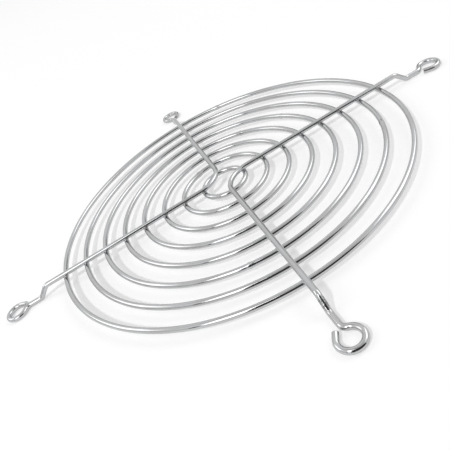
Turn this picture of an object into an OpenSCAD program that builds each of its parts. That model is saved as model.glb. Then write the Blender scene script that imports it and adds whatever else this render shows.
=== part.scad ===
// Welded wire guard for a square-flanged axial fan, in millimetres.
//
// Eight round rings hang under two bent spoke wires and are welded to them
// wherever they cross. Each spoke wire is one length of wire: it is bent to a
// rounded right angle beside the hub, and each of its two ends steps down
// beyond the outer ring and is curled into an open eye for a fixing screw.
//
// Z = 0 is the plane that the four eyes lie on, the face of the fan frame,
// and the guard's axis is the Z axis. The spokes run along the diagonals, so
// the eyes stand on a square whose sides are along X and Y.

/* [Guard] */
// Outside diameter, measured across the outer ring
guard_d = 114; // [112:0.5:117]
// Centre distance from each ring to the next, and radius of the first ring
ring_pitch = 7.0; // [6.6:0.1:7.2]
// Wire diameter, the same for the rings and the spoke wires
wire_d = 1.6; // [1.4:0.05:1.8]
// How far a weld beds each ring into the spoke wire that it crosses
weld_set = 0.25; // [0.1:0.05:0.35]
// Seam left between a ring and the spoke wire that it is bedded into
weld_seam = 0.01; // [0.005:0.005:0.03]

/* [Spoke wires] */
// Radius of the bend beside the hub, at the middle of the wire
hub_bend_r = 8.5; // [7.5:0.25:11]
// Distance from the axis to where the wire steps down
step_at = 62.5; // [62:0.1:63.5]
// How far the eyes lie below the spokes, from wire centre to wire centre
step_drop = 3.0; // [2.6:0.1:3.4]
// Slope of the step
step_angle = 42; // [38:1:48]
// Radius of both bends of the step, at the middle of the wire
step_bend_r = 2.0; // [1.6:0.1:2.2]

/* [Screw eyes] */
// Side of the square that the four eye centres stand on
bolt_square = 105; // [104.5:0.1:105.5]
// Clear diameter of an eye
eye_bore_d = 4.5; // [4.3:0.1:5.2]
// Width of the narrow flat that the bending pin presses inside an eye
eye_land = 0.7; // [0.6:0.05:0.8]
// Radius of the kink that leads the wire off its line and into the eye
kink_r = 1.8; // [1.6:0.1:2.0]
// Straight length between the kink and the eye
kink_run = 0.1; // [0.1:0.05:0.2]
// Where the eye's round part stops, as an angle from the spoke's own line
eye_open_at = 117; // [115:1:118]
// Length of the straight tail beyond the round part
tail_l = 2.0; // [1:0.1:2.1]

/* [Hidden] */
RINGS = 8;
CIRCLE_FN = 48;               // facets round the wire's section
SWEEP_FN = 120;               // facets round a ring or a bend
THINNING = 0.01;              // wire draws down by this much where it is bent
LAP = 0.03;                   // straight lengths run this far into the bends

wire_r = wire_d / 2;
bent_r = wire_r - THINNING;
eye_z = wire_r;                                  // eyes rest on Z = 0
spoke_z = eye_z + step_drop;
ring_z = spoke_z - wire_d + weld_set;            // rings hang under the spokes
outer_r = guard_d / 2 - wire_r;

// The step: two equal bends with a straight slope between them.
step_tangent = step_bend_r * tan(step_angle / 2);
slope_l = step_drop / sin(step_angle) - 2 * step_tangent;
step_run = step_drop / tan(step_angle);

// The eye: a round loop with a flat on its inner side. A kink turns the wire
// aside, and a short straight then meets the loop from outside it.
loop_r = eye_bore_d / 2 + sqrt(pow(bent_r, 2) - pow(eye_land / 2, 2));
eye_at = bolt_square / sqrt(2);
kink_reach = sqrt(pow(kink_run, 2) + pow(loop_r + kink_r, 2));
kink_back = sqrt(pow(kink_reach, 2) - pow(kink_r, 2));
kink_turn = acos(kink_r / kink_reach) - atan(kink_run / (loop_r + kink_r));
loop_sweep = 90 + kink_turn + eye_open_at;
leg_l = step_at - step_tangent - hub_bend_r;
stem_l = eye_at - kink_back - step_at - step_run - step_tangent;

SILVER = [0.78, 0.79, 0.80];

function ring_r(i) = i < RINGS ? i * ring_pitch : outer_r;

// Straight wire along +X; its children carry on from its end.
module run(length) {
    translate([-LAP, 0, 0]) rotate([0, 90, 0])
        cylinder(r = wire_r, h = length + 2 * LAP, $fn = CIRCLE_FN);
    translate([length, 0, 0]) children();
}

// Bent wire about a centre on its left, or with side = -1 on its right;
// its children carry on from its end.
module turn(radius, angle, side = 1) {
    translate([0, side * radius, 0])
        rotate([0, 0, side > 0 ? -90 : 90 - angle])
            rotate_extrude(angle = angle, $fn = SWEEP_FN)
                translate([radius, 0]) circle(r = bent_r, $fn = CIRCLE_FN);
    translate([radius * sin(angle), side * radius * (1 - cos(angle)), 0])
        rotate([0, 0, side * angle]) children();
}

// Round part of an eye, bent to the right. Its inner side is flattened to a
// true cylinder of the eye's clear diameter, by the pin it is bent round.
module eye_loop() {
    translate([0, -loop_r, 0]) rotate([0, 0, 90 - loop_sweep])
        rotate_extrude(angle = loop_sweep, $fn = SWEEP_FN)
            difference() {
                translate([loop_r, 0]) circle(r = bent_r, $fn = CIRCLE_FN);
                translate([0, -wire_r]) square([eye_bore_d / 2, wire_d]);
            }
    translate([loop_r * sin(loop_sweep), loop_r * (cos(loop_sweep) - 1), 0])
        rotate([0, 0, -loop_sweep]) children();
}

// One end of a spoke wire, outward along +X: the leg, the step down, the
// stem, the kink, the eye and its tail. The step is bent in an upright plane.
module spoke_end() {
    translate([hub_bend_r, 0, spoke_z]) rotate([-90, 0, 0])
        run(leg_l)
        turn(step_bend_r, step_angle) run(slope_l)
        turn(step_bend_r, step_angle, -1)
        rotate([90, 0, 0]) run(stem_l)
        turn(kink_r, kink_turn) run(kink_run)
        eye_loop() run(tail_l);
}

// Rounded right-angle bend beside the hub, opening along +X. A seat for it is
// cut with grow = the seam.
module hub_bend(grow = 0) {
    translate([hub_bend_r * sqrt(2), 0, spoke_z])
        rotate([0, 0, 135])
            rotate_extrude(angle = 90, $fn = SWEEP_FN)
                translate([hub_bend_r, 0])
                    circle(r = bent_r + grow, $fn = CIRCLE_FN);
}

// One spoke wire, its hub bend opening along +X.
module spoke_wire() {
    hub_bend();
    rotate([0, 0, 45]) spoke_end();
    rotate([0, 0, -45]) spoke_end();
}

// The room that the four straight legs take, with the weld seam round them.
module leg_seats() {
    for (a = [45 : 90 : 315]) rotate([0, 0, a])
        translate([hub_bend_r - LAP, 0, spoke_z]) rotate([0, 90, 0])
            cylinder(r = wire_r + weld_seam, h = leg_l, $fn = CIRCLE_FN);
}

// One closed ring, with a weld seat under each spoke that crosses it.
module ring(i) {
    difference() {
        translate([0, 0, ring_z])
            rotate_extrude($fn = SWEEP_FN)
                translate([ring_r(i), 0]) circle(r = wire_r, $fn = CIRCLE_FN);
        if (ring_r(i) > hub_bend_r - wire_d) leg_seats();
        if (ring_r(i) < hub_bend_r + wire_d) {
            hub_bend(weld_seam + THINNING);
            rotate([0, 0, 180]) hub_bend(weld_seam + THINNING);
        }
    }
}

module ring_1() { color(SILVER) ring(1); }
module ring_2() { color(SILVER) ring(2); }
module ring_3() { color(SILVER) ring(3); }
module ring_4() { color(SILVER) ring(4); }
module ring_5() { color(SILVER) ring(5); }
module ring_6() { color(SILVER) ring(6); }
module ring_7() { color(SILVER) ring(7); }
module ring_8() { color(SILVER) ring(8); }
module spoke_wire_right() { color(SILVER) spoke_wire(); }
module spoke_wire_left() { color(SILVER) rotate([0, 0, 180]) spoke_wire(); }

ring_1();
ring_2();
ring_3();
ring_4();
ring_5();
ring_6();
ring_7();
ring_8();
spoke_wire_right();
spoke_wire_left();
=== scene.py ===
import math
import random

import bmesh
import bpy
from mathutils import Matrix, Vector


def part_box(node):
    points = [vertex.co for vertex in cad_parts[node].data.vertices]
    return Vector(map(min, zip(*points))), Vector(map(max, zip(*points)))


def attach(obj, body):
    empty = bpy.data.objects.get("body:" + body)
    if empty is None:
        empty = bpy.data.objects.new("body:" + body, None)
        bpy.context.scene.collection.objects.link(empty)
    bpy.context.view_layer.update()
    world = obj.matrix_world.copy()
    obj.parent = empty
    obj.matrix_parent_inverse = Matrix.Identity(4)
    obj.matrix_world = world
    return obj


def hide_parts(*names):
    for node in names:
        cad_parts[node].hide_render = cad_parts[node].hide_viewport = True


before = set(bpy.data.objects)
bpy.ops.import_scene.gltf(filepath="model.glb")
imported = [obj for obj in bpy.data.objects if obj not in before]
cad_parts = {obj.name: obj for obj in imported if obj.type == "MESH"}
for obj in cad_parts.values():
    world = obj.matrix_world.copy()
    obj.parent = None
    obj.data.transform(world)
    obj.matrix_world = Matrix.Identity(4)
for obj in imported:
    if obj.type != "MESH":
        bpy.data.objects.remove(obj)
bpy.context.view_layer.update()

# ---------------------------------------------------------------------------
# Rings. Eight lengths of 1.6 mm mild steel wire, each rolled round and butt
# welded shut, then resistance welded under the spoke wires. The guard is
# plated with bright nickel and chrome once it is welded up.
# ---------------------------------------------------------------------------
CHROME = (0.545, 0.552, 0.560, 1.0)
CHROME_DEEP = (0.500, 0.500, 0.500, 1.0)
WELD_GREY = (0.17, 0.155, 0.14, 1.0)
# Colour of the press marks, which at one end of each spoke wire is also a painted
# dark reflection.
PRESS_AND_REFLECTION_GREY = (0.045, 0.045, 0.047, 1.0)
PIT_GREY = (0.22, 0.21, 0.20, 1.0)
POLISH = 0.07                         # roughness of the clean plate
RELIEF = 0.00004                      # depth of the marks in the plate
# How often a mark repeats in a metre: along the wire, and twice across it.
DRAW_LINES = (45.0, 5200.0, 5200.0)
BROAD_LINES = (18.0, 1500.0, 1500.0)
RIPPLE = (480.0, 560.0, 560.0)
# The same for marks that run no one way.
CLOUDS = 130.0
GRAIN = 5200.0
PITS = 900.0


class Sock:
    """A node's output, with maths written as plain expressions."""

    def __init__(self, tree, socket=None):
        self.tree, self.socket = tree, socket

    def node(self, kind, settings=None, inputs=None, out=0):
        made = self.tree.nodes.new(kind)
        settings = dict(settings or {})
        stops = settings.pop("stops", None)
        for name, value in settings.items():
            setattr(made, name, value)
        if stops:
            ramp = made.color_ramp
            while len(ramp.elements) < len(stops):
                ramp.elements.new(0.5)
            for element, (place, colour) in zip(ramp.elements, stops):
                element.position = place
                element.color = colour
        for name, value in (inputs or {}).items():
            if isinstance(value, Sock):
                self.tree.links.new(value.socket, made.inputs[name])
            else:
                made.inputs[name].default_value = value
        return Sock(self.tree, made.outputs[out] if made.outputs else None)

    def maths(self, operation, first, second):
        return self.node("ShaderNodeMath", {"operation": operation},
                         {0: first, 1: second})

    def __add__(self, other):
        return self.maths("ADD", self, other)

    def __radd__(self, other):
        return self.maths("ADD", other, self)

    def __sub__(self, other):
        return self.maths("SUBTRACT", self, other)

    def __rsub__(self, other):
        return self.maths("SUBTRACT", other, self)

    def __mul__(self, other):
        return self.maths("MULTIPLY", self, other)

    def __rmul__(self, other):
        return self.maths("MULTIPLY", other, self)

    def eased(self, low, high, to_low=0.0, to_high=1.0):
        """Smooth change from to_low at low to to_high at high."""
        return self.node("ShaderNodeMapRange",
                         {"interpolation_type": "SMOOTHSTEP"},
                         {"Value": self, "From Min": low, "From Max": high,
                          "To Min": to_low, "To Max": to_high})

    def mixed(self, first, second):
        """Colour that goes from first to second as this value goes 0 to 1."""
        # A Mix node's sockets share their names, so its colours go by number.
        return self.node("ShaderNodeMix", {"data_type": "RGBA"},
                         {0: self, 6: first, 7: second}, out=2)


def cleared(tree):
    """Empties a node tree and gives the start for its new nodes."""
    tree.nodes.clear()
    return Sock(tree)


def plated_wire_material():
    """Bright plate over drawn wire. It shows the lines that the drawing die
    left, is dull beside each weld, and is marked where a tool has pressed.
    At one end of each spoke wire the press mark also holds a painted dark
    reflection."""
    mat = bpy.data.materials.new("plated_wire")
    mat.use_nodes = True
    start = cleared(mat.node_tree)

    def attribute(name, out):
        return start.node("ShaderNodeAttribute", {"attribute_name": name},
                          out=out)

    straight = attribute("straightened", "Vector")
    heat = attribute("heat", "Fac")
    press_and_reflection = attribute("press_and_reflection", "Fac")
    place = start.node("ShaderNodeTexCoord", out="Object")

    def noise(vector, scale, detail, rough=0.5):
        return start.node("ShaderNodeTexNoise", None,
                          {"Vector": vector, "Scale": scale,
                           "Detail": detail, "Roughness": rough})

    def along_wire(repeats, detail, rough=0.5):
        stretched = start.node("ShaderNodeVectorMath",
                               {"operation": "MULTIPLY"},
                               {0: straight, 1: repeats})
        return noise(stretched, 1.0, detail, rough)

    draw_lines = along_wire(DRAW_LINES, 3.0, 0.6)
    broad_lines = along_wire(BROAD_LINES, 2.0)
    ripple = along_wire(RIPPLE, 1.0)
    clouds = noise(place, CLOUDS, 3.0)
    grain = noise(place, GRAIN, 2.0, 0.6)

    # Small pits lie together, where the plate is cloudy.
    from_pit = start.node("ShaderNodeTexVoronoi", {"feature": "F1"},
                          {"Vector": place, "Scale": PITS, "Randomness": 1.0})
    pit = from_pit.eased(0.05, 0.13, 1.0, 0.0) * clouds.eased(0.52, 0.66)

    # Heat and tools break the plate up into specks. Where the press mark is
    # strong, its specks also hold a painted dark reflection.
    speckle = grain.eased(0.46, 0.58)
    scorched = (heat * (0.3 + speckle * 1.1)).eased(0.15, 0.9)
    pressed_and_reflected = (press_and_reflection * (0.25 + speckle * 1.1)).eased(0.3, 0.9)

    colour = clouds.eased(0.35, 0.7).mixed(CHROME, CHROME_DEEP)
    colour = (draw_lines.eased(0.62, 0.8) * 0.5).mixed(colour, PIT_GREY)
    colour = (pit * 0.8).mixed(colour, PIT_GREY)
    colour = (scorched * 0.8).mixed(colour, WELD_GREY)
    # Press marks, with the painted dark reflection laid on the strong one.
    colour = (pressed_and_reflected * 0.85).mixed(colour, PRESS_AND_REFLECTION_GREY)

    rough = (POLISH + draw_lines.eased(0.4, 0.75) * 0.09
             + clouds.eased(0.4, 0.7) * 0.05 + pit * 0.2
             + scorched * 0.28 + pressed_and_reflected * 0.22)
    height = (draw_lines * 0.25 + broad_lines * 0.35
              + ripple * (0.15 + press_and_reflection * 22.0)
              - pit * 0.6 + grain * (heat * 0.9 + press_and_reflection * 2.2 + 0.03))
    bump = start.node("ShaderNodeBump", None,
                      {"Strength": 0.3, "Distance": RELIEF, "Height": height})
    shader = start.node("ShaderNodeBsdfPrincipled", None,
                        {"Base Color": colour, "Metallic": 1.0,
                         "Roughness": rough, "Normal": bump})
    start.node("ShaderNodeOutputMaterial", None, {"Surface": shader})
    return mat


PLATED = plated_wire_material()


def new_wire():
    """Empty bmesh with the three attributes that the plated finish reads."""
    mesh = bmesh.new()
    return (mesh, mesh.verts.layers.float_vector.new("straightened"),
            mesh.verts.layers.float.new("heat"),
            mesh.verts.layers.float.new("press_and_reflection"))


def finish_wire(piece, mesh, nodes):
    """Turns a bmesh into a plated piece that stands for the CAD nodes."""
    data = bpy.data.meshes.new(piece)
    mesh.to_mesh(data)
    mesh.free()
    for face in data.polygons:
        face.use_smooth = True
    data.materials.append(PLATED)
    made = bpy.data.objects.new(piece, data)
    bpy.context.scene.collection.objects.link(made)
    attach(made, "root")
    if nodes:
        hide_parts(*nodes)


WIRE_R = 0.0008
RINGS = 8
CORNERS = 28                          # round the wire
COARSE = 0.0007                       # step along the wire where it is plain
SPOKES = [math.radians(a) for a in (45, 135, 225, 315)]

WOBBLE = 0.00007                      # how far a rolled ring is out of true
ANYWHERE = 6.28                       # the waves begin at any angle up to this
NEXT_RING = 0.37                      # so that each has draw lines of its own

# Where each ring's butt weld lies, in degrees, and the collar of metal that
# the weld has pushed up on both sides of its seam.
BUTT_AT = [-100.0, 155.4, 139.2, 102.2, 77.7, -56.1, 24.0, 118.0]
COLLAR_H = 0.00011
COLLAR_W = 0.00042
COLLAR_OFF = 0.0001                   # from the seam to the collar's crest
COLLAR_LUMPS = 7

# How much a butt weld's heat dulls the plate, and how far along the wire it
# and a crossing's heat reach.
BUTT_HEAT = 0.75
BUTT_REACH = 0.0009
CROSSING_REACH = 0.0019


def ring_size(number):
    """Middle radius and height of a ring, from its CAD node's box. The radius
    leaves room for the wobble."""
    low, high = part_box(f"ring_{number}")
    return (high.x - low.x) / 2 - WIRE_R - WOBBLE / 2, low.z + WIRE_R


def near(distance, reach):
    """Falls smoothly from 1 at nought to nearly 0 beyond reach."""
    return math.exp(-(distance / reach) ** 2)


def welded_side(rise):
    """How much of a weld's heat a wire took, from 1 on the side of the weld
    to 0 on the far side. The rise is from its middle towards the weld."""
    return max(0.0, 0.35 + 0.65 * rise / WIRE_R)


def arc_between(a, b):
    """Angle from b to a, the short way round."""
    return (a - b + math.pi) % (2 * math.pi) - math.pi


def out_of_true(luck, counts):
    """Waves round a ring: how many, how high and where each begins."""
    return [(n, luck.uniform(0.4, 1.0) * WOBBLE / n, luck.uniform(0, ANYWHERE))
            for n in counts]


def wave_height(waves, angle):
    return sum(a * math.cos(n * angle + begin) for n, a, begin in waves)


def make_ring(number):
    radius, height = ring_size(number)
    butt = math.radians(BUTT_AT[number - 1])
    luck = random.Random(100 + number)
    out_waves = out_of_true(luck, (2, 3, 5))
    up_waves = out_of_true(luck, (2, 3, 4))

    # The section stands at the butt weld and is spun once round the axis.
    mesh, straight, heat, _ = new_wire()
    bmesh.ops.create_circle(
        mesh, segments=CORNERS, radius=WIRE_R,
        matrix=Matrix.Rotation(butt, 4, "Z") @ Matrix.Translation((radius, 0, 0))
        @ Matrix.Rotation(math.pi / 2, 4, "X"))
    bmesh.ops.spin(mesh, geom=mesh.verts[:] + mesh.edges[:], cent=(0, 0, 0),
                   axis=(0, 0, 1), angle=2 * math.pi, use_merge=True,
                   steps=int(radius * 2 * math.pi / COARSE))
    bmesh.ops.recalc_face_normals(mesh, faces=mesh.faces[:])

    for v in mesh.verts:
        angle = math.atan2(v.co.y, v.co.x)
        out = v.co.to_2d().length - radius
        up = v.co.z
        from_butt = arc_between(angle, butt)
        v[straight] = (from_butt * radius + NEXT_RING * number, out, up)

        along = abs(from_butt) * radius
        lumps = math.sin(COLLAR_LUMPS * math.atan2(up, out) + number)
        swell = 1 + near(along - COLLAR_OFF, COLLAR_W) * COLLAR_H / WIRE_R * (
            0.8 + 0.5 * lumps)
        v[heat] = BUTT_HEAT * near(along, BUTT_REACH)
        for spoke in SPOKES:
            away = arc_between(angle, spoke) * radius
            v[heat] = max(v[heat],
                          near(away, CROSSING_REACH) * welded_side(up))

        reach = radius + wave_height(out_waves, angle) + out * swell
        v.co = (reach * math.cos(angle), reach * math.sin(angle),
                height + up * swell + wave_height(up_waves, angle))
    finish_wire(f"ring_{number}_wire", mesh, [f"ring_{number}"])


for ring_number in range(1, RINGS + 1):
    make_ring(ring_number)


# ---------------------------------------------------------------------------
# Spoke wires. Two lengths of the same wire, each bent to a rounded right
# angle beside the hub. Each end is stepped down in a press, kinked aside and
# curled round a pin into an open eye, and its tail is sheared off square.
# ---------------------------------------------------------------------------
HUB_BEND_R = 0.0085
STEP_AT = 0.0625
STEP_BEND_R = 0.0020
STEP_ANGLE = math.radians(42)
EYE_AT = 0.105 / math.sqrt(2)         # the eyes stand on a 105 mm square
EYE_BORE_R = 0.00225
EYE_R = 0.0029583                     # eye's radius at the wire's middle
KINK_R = 0.0018
KINK_RUN = 0.0001
EYE_OPEN_AT = math.radians(117)
TAIL_L = 0.0020
BROKEN_EDGE = 0.00007                 # round the sheared end

# Steps along the wire in the hub bend, in the stem and where it is formed.
HUB_STEP = 0.00035
STEM_STEP = 0.0004
FINE = 0.00022

PRESS_MARK_AND_REFLECTION = {1: 0.35, -1: 1.0}       # how hard the press bit, at either end; the stronger end also holds a painted dark reflection
PRESS_AND_REFLECTION_REACH = 0.0015                  # how far that shows along the wire
PIN_MARK = 0.2                        # where the wire is bent round a pin
LAND_MARK = 0.3                       # on the flat that the pin leaves
LAND_LEAD = 0.0005                    # the flat begins this far before the eye
SQUEEZE = 0.06                        # flattening where the press grips
GRIP_REACH = 0.0014
SPOKE_HEAT_REACH = 0.8 * CROSSING_REACH

_, wire_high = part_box("spoke_wire_right")
SPOKE_Z = wire_high.z - WIRE_R
STEP_DROP = SPOKE_Z - WIRE_R


class Forming:
    """A wire while it is formed: its open end moves on with each run or bend."""

    def __init__(self, mesh, rim, at, ahead, layer):
        self.mesh, self.rim, self.layer = mesh, rim, layer
        self.at, self.ahead = Vector(at), Vector(ahead).normalized()
        self.travelled = 0.0

    def _spin(self, centre, axis, angle, slide, steps, measure):
        before = len(self.mesh.verts)
        made = bmesh.ops.spin(self.mesh, geom=self.rim, cent=centre, axis=axis,
                              dvec=slide, angle=angle, steps=steps,
                              use_duplicate=False)
        self.rim = [g for g in made["geom_last"]
                    if isinstance(g, (bmesh.types.BMEdge, bmesh.types.BMVert))]
        for v in list(self.mesh.verts)[before:]:
            v[self.layer].x = self.travelled + measure(v.co)

    def run(self, length, step=COARSE):
        steps = max(1, round(length / step))
        begin, ahead = self.at.copy(), self.ahead.copy()
        self._spin(begin, (0, 0, 1), 0.0, ahead * (length / steps), steps,
                   lambda co: (co - begin).dot(ahead))
        self.at = self.at + self.ahead * length
        self.travelled += length

    def bend(self, radius, angle, axis, step=FINE):
        """Turns by angle about axis, right-handed; a negative angle turns back."""
        axis = Vector(axis)
        side = math.copysign(1, angle)
        centre = self.at + axis.cross(self.ahead) * (side * radius)
        steps = max(4, round(abs(angle) * radius / step))

        def measure(co):
            """Way along the bend, from the arm that this part begins at."""
            reach = co - centre
            flat = reach - axis * reach.dot(axis)
            turned = math.atan2(arm.cross(flat).dot(axis), arm.dot(flat))
            return abs(turned) * radius

        # A long bend is made in parts, each short enough to be measured.
        parts = math.ceil(abs(angle) / 1.5)
        part = angle / parts
        turn = Matrix.Rotation(part, 3, axis)
        for _ in range(parts):
            arm = self.at - centre
            self._spin(centre, axis, part, (0, 0, 0), max(2, steps // parts),
                       measure)
            self.at = centre + turn @ arm
            self.ahead = turn @ self.ahead
            self.travelled += abs(part) * radius


def wire_end(form, heading):
    """Leg, step, stem, kink, eye and tail, outward along heading. Gives how
    far along the wire the step, stem, kink and eye begin."""
    up = Vector((0, 0, 1))
    aside = up.cross(heading)
    tangent = STEP_BEND_R * math.tan(STEP_ANGLE / 2)
    slope = STEP_DROP / math.sin(STEP_ANGLE) - 2 * tangent
    reach = math.hypot(KINK_RUN, EYE_R + KINK_R)
    kink_back = math.sqrt(reach ** 2 - KINK_R ** 2)
    kink_turn = math.acos(KINK_R / reach) - math.atan(KINK_RUN / (EYE_R + KINK_R))
    stem = (EYE_AT - kink_back - STEP_AT - STEP_DROP / math.tan(STEP_ANGLE)
            - tangent)

    form.run(STEP_AT - tangent - HUB_BEND_R)
    marks = {"step": form.travelled}
    form.bend(STEP_BEND_R, STEP_ANGLE, aside)
    form.run(slope, FINE)
    form.bend(STEP_BEND_R, -STEP_ANGLE, aside)
    marks["stem"] = form.travelled
    form.run(stem, STEM_STEP)
    marks["kink"] = form.travelled
    form.bend(KINK_R, kink_turn, up)
    form.run(KINK_RUN, FINE)
    marks["eye"] = form.travelled
    form.bend(EYE_R, -(math.pi / 2 + kink_turn + EYE_OPEN_AT), up)
    form.run(TAIL_L, FINE)
    return marks


def make_spoke_wire(piece, node, turned):
    mesh, straight, heat, press_and_reflection = new_wire()

    # The section stands at the middle of the hub bend, facing along Y, and
    # both ends are formed from it.
    apex = Vector((HUB_BEND_R * (math.sqrt(2) - 1), 0, SPOKE_Z))
    bmesh.ops.create_circle(mesh, segments=CORNERS, radius=WIRE_R,
                            matrix=Matrix.Rotation(math.pi / 2, 4, "X"))
    for v in mesh.verts:
        v[straight] = (0.0, v.co.x, v.co.z)
    bmesh.ops.translate(mesh, verts=mesh.verts[:], vec=apex)
    rim = mesh.verts[:] + mesh.edges[:]
    ends = []
    caps = []
    for sign in (1, -1):
        form = Forming(mesh, rim, apex, (0, sign, 0), straight)
        form.bend(HUB_BEND_R, -sign * math.pi / 4, (0, 0, 1), HUB_STEP)
        heading = Vector((1, sign, 0)).normalized()
        ends.append((sign, heading, wire_end(form, heading)))
        caps.append(bmesh.ops.edgeloop_fill(
            mesh, edges=[g for g in form.rim
                         if isinstance(g, bmesh.types.BMEdge)])["faces"])
    for faces in caps:
        bmesh.ops.bevel(mesh, geom=list({e for f in faces for e in f.edges}),
                        offset=BROKEN_EDGE, segments=2, profile=0.5,
                        affect="EDGES", material=-1)
    bmesh.ops.recalc_face_normals(mesh, faces=mesh.faces[:])

    # Ring 1 lies under the hub bend, and all the others under the legs. Each
    # end has its own side of the hub bend's middle.
    crossings = [ring_size(n)[0] for n in range(2, RINGS + 1)]
    for v in mesh.verts:
        for sign, heading, marks in ends:
            if v.co.y * sign < 0:
                continue
            s = v[straight].x
            across = v.co.to_2d().dot(heading.to_2d())
            if s < marks["step"]:
                for radius in crossings:
                    v[heat] = max(v[heat],
                                  near(across - radius, SPOKE_HEAT_REACH)
                                  * welded_side(SPOKE_Z - v.co.z))
            # The press mark halfway down the step. Where it is strong it is also a
            # painted dark reflection.
            middle = (marks["step"] + marks["stem"]) / 2
            v[press_and_reflection] = max(v[press_and_reflection],
                           PRESS_MARK_AND_REFLECTION[sign] * near(s - middle, PRESS_AND_REFLECTION_REACH))
            if s > marks["kink"]:
                v[press_and_reflection] = max(v[press_and_reflection], PIN_MARK)
            v.co.z -= SQUEEZE * near(s - middle, GRIP_REACH) * v[straight].z

            # The pin presses the inside of the eye to its own round.
            eye = heading * EYE_AT
            gap = Vector((v.co.x - eye.x, v.co.y - eye.y))
            if s > marks["eye"] - LAND_LEAD and gap.length < EYE_BORE_R:
                gap = gap.normalized() * EYE_BORE_R
                v.co.x, v.co.y = eye.x + gap.x, eye.y + gap.y
                v[press_and_reflection] = max(v[press_and_reflection], LAND_MARK)
    bmesh.ops.transform(mesh, matrix=Matrix.Rotation(turned, 4, "Z"),
                        verts=mesh.verts[:])
    finish_wire(piece, mesh, [node])


make_spoke_wire("right_spoke_wire", "spoke_wire_right", 0.0)
make_spoke_wire("left_spoke_wire", "spoke_wire_left", math.pi)


# ---------------------------------------------------------------------------
# Weld beads. Resistance welding squeezes a thin lip of metal out round each
# crossing, between the ring and the spoke wire above it. The lip is plated
# with the rest, but stays rough and dull.
# ---------------------------------------------------------------------------
BEAD_R = 0.00078
BEAD_H = 0.00030
BEAD_HEAT = 0.8                       # how dull the lip stays
BEAD_LUMPS = 5
LUMP_H = 0.07                         # as a share of the bead


def make_weld_beads():
    mesh, straight, heat, _ = new_wire()
    luck = random.Random(7)
    for number in range(1, RINGS + 1):
        radius, height = ring_size(number)
        level = (height + SPOKE_Z) / 2
        for spoke in SPOKES:
            place = Vector((radius * math.cos(spoke), radius * math.sin(spoke),
                            level))
            size = luck.uniform(0.88, 1.12)
            bead = bmesh.ops.create_uvsphere(
                mesh, u_segments=20, v_segments=12, radius=1.0,
                matrix=Matrix.Translation(place) @ Matrix.Rotation(spoke, 4, "Z")
                @ Matrix.Diagonal((BEAD_R * size, BEAD_R * luck.uniform(0.9, 1.1),
                                   BEAD_H * size, 1)))
            for v in bead["verts"]:
                out = v.co - place
                lumps = math.sin(BEAD_LUMPS * math.atan2(out.y, out.x)
                                 + 3 * number + spoke)
                v.co = place + out * (1 + LUMP_H * lumps)
                v[straight] = v.co - place
                v[heat] = BEAD_HEAT
    bmesh.ops.recalc_face_normals(mesh, faces=mesh.faces[:])
    finish_wire("weld_beads", mesh, [])


make_weld_beads()


# ---------------------------------------------------------------------------
# Table and light. The guard lies on its four eyes on a white table in a pale
# room, and three soft boxes stand round it. A dark screen, a stand and a grey
# screen give the polished wires something darker to pick up.
# ---------------------------------------------------------------------------
TABLE_HALF = 3.0                      # half of the table's side
TABLE_WHITE = (0.62, 0.62, 0.62, 1.0)
TABLE_LIFT = 0.42                     # added where the table itself is seen
AMBIENT = 0.46                        # the room's light on the object
WHITE = (1, 1, 1, 1)
# Brightness of the room's walls, by the sine of the elevation.
WALLS = ((0.0, 0.74), (0.26, 0.78), (0.48, 0.92), (0.78, 0.98), (0.94, 0.72),
         (1.0, 0.62))
BOX_AWAY = 0.75
LAMP_AWAY = 4.0


def seen_rays(start):
    """Camera, glossy and transmission rays, each 1 where it is that ray."""
    return [start.node("ShaderNodeLightPath", out=name)
            for name in ("Is Camera Ray", "Is Glossy Ray",
                         "Is Transmission Ray")]


def towards(azimuth, elevation, distance=1.0):
    a, e = math.radians(azimuth), math.radians(elevation)
    return distance * Vector((math.cos(e) * math.cos(a),
                              math.cos(e) * math.sin(a), math.sin(e)))


def stage_piece(name, mesh):
    """A thing of the room, not of the guard, with an empty material."""
    data = bpy.data.meshes.new(name)
    mesh.to_mesh(data)
    mesh.free()
    made = bpy.data.objects.new(name, data)
    bpy.context.scene.collection.objects.link(made)
    mat = bpy.data.materials.new(name)
    mat.use_nodes = True
    data.materials.append(mat)
    return made, cleared(mat.node_tree)


def glow(name, mesh, strength):
    """Gives a mesh an even glow that only the polished metal sees."""
    made, start = stage_piece(name, mesh)
    made.visible_camera = False
    made.visible_diffuse = False
    made.visible_shadow = False
    shine = start.node("ShaderNodeEmission", None,
                       {"Color": WHITE, "Strength": strength})
    start.node("ShaderNodeOutputMaterial", None, {"Surface": shine})


def make_table():
    mesh = bmesh.new()
    bmesh.ops.create_grid(mesh, x_segments=2, y_segments=2, size=TABLE_HALF)
    _, start = stage_piece("table", mesh)
    camera_ray, glossy_ray, clear_ray = seen_rays(start)
    shader = start.node(
        "ShaderNodeBsdfPrincipled", None,
        {"Base Color": TABLE_WHITE, "Roughness": 0.9,
         "Specular IOR Level": 0.0, "Emission Color": WHITE,
         "Emission Strength": (camera_ray + glossy_ray + clear_ray) * TABLE_LIFT})
    start.node("ShaderNodeOutputMaterial", None, {"Surface": shader})


def make_screen(name, left, right, low, high, strength):
    """Upright screen between two places on the plan, from low to high."""
    mesh = bmesh.new()
    foot = mesh.edges.new([mesh.verts.new((x, y, low)) for x, y in (left, right)])
    raised = bmesh.ops.extrude_edge_only(mesh, edges=[foot])["geom"]
    bmesh.ops.translate(
        mesh, vec=(0, 0, high - low),
        verts=[g for g in raised if isinstance(g, bmesh.types.BMVert)])
    glow(name, mesh, strength)


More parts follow.
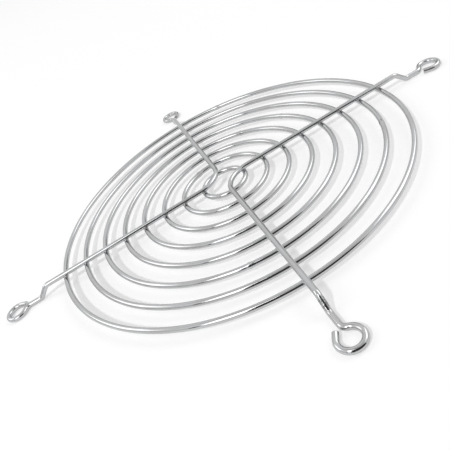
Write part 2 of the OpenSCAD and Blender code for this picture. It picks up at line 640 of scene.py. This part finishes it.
def make_soft_box(name, azimuth, elevation, width, height, strength):
    """Bright face of a soft box, turned to the middle of the table."""
    mesh = bmesh.new()
    bmesh.ops.create_grid(mesh, x_segments=1, y_segments=1, size=0.5)
    bmesh.ops.scale(mesh, vec=(width, height, 1), verts=mesh.verts[:])
    turn = (-towards(azimuth, elevation)).to_track_quat("-Z", "Y").to_matrix()
    bmesh.ops.transform(mesh, verts=mesh.verts[:], matrix=Matrix.Translation(
        towards(azimuth, elevation, BOX_AWAY)) @ turn.to_4x4())
    glow(name, mesh, strength)


def make_lamp(name, azimuth, elevation, size, watts):
    """Lamp far behind the face of a soft box, so that the table is lit evenly."""
    lamp = bpy.data.lights.new(name, "AREA")
    lamp.shape = "SQUARE"
    lamp.size = size
    lamp.energy = watts
    held = bpy.data.objects.new(name, lamp)
    held.location = towards(azimuth, elevation, LAMP_AWAY)
    held.rotation_euler = (-towards(azimuth, elevation)).to_track_quat(
        "-Z", "Y").to_euler()
    held.visible_glossy = False
    bpy.context.scene.collection.objects.link(held)


def make_room():
    """Even light on the object, white behind it, and walls for the metal."""
    world = bpy.data.worlds.new("room")
    bpy.context.scene.world = world
    world.use_nodes = True
    start = cleared(world.node_tree)
    camera_ray, glossy_ray, clear_ray = seen_rays(start)
    ahead = start.node("ShaderNodeTexCoord", out="Generated")
    rise = start.node("ShaderNodeSeparateXYZ", None, {0: ahead}, out="Z")
    walls = start.node("ShaderNodeValToRGB", {"stops": [
        (place, (tone, tone, tone, 1.0)) for place, tone in WALLS]}, {0: rise})
    level = (AMBIENT + camera_ray * (1 - AMBIENT)
             + (glossy_ray + clear_ray) * (walls - AMBIENT))
    backdrop = start.node("ShaderNodeBackground", None,
                          {"Color": WHITE, "Strength": level})
    start.node("ShaderNodeOutputWorld", None, {"Surface": backdrop})


make_table()
make_screen("near_screen", (0.060, -0.150), (0.228, -0.026), 0.010, 0.225, 0.05)
make_screen("stand", (-0.105, -0.585), (-0.060, -0.600), 0.0, 0.30, 0.10)
make_screen("far_screen", (-0.26, 0.60), (-0.06, 0.64), 0.0, 0.32, 0.36)
make_soft_box("key_soft_box", -84, 48, 0.32, 0.64, 2.8)
make_soft_box("side_soft_box", -159, 37, 0.46, 0.36, 2.2)
make_soft_box("back_soft_box", 58, 41, 0.60, 0.40, 2.3)
make_lamp("key_lamp", -94, 49, 0.38, 66)
make_lamp("side_lamp", -158, 38, 1.8, 23)
make_lamp("back_lamp", 58, 41, 1.8, 23)
make_room()

# ---------------------------------------------------------------------------
# Camera. It looks down on the guard from beside its near screw eye, and is
# rolled so that the guard lies across the frame.
# ---------------------------------------------------------------------------
CAMERA_AT = (0.090344, -0.109890, 0.083378)
CAMERA_RIGHT = (0.829270, 0.379038, -0.410659)
CAMERA_UP = (0.043534, 0.688784, 0.723658)

lens = bpy.data.cameras.new("camera")
lens.sensor_width = 36.0
lens.lens = 42.428
lens.clip_start = 0.005
camera = bpy.data.objects.new("camera", lens)
right = Vector(CAMERA_RIGHT).normalized()
backward = right.cross(Vector(CAMERA_UP)).normalized()
upward = backward.cross(right)
camera.matrix_world = (
    Matrix.Translation(CAMERA_AT)
    @ Matrix((right, upward, backward)).transposed().to_4x4())
bpy.context.scene.collection.objects.link(camera)
bpy.context.scene.camera = camera
bpy.context.scene.view_settings.view_transform = "Standard"
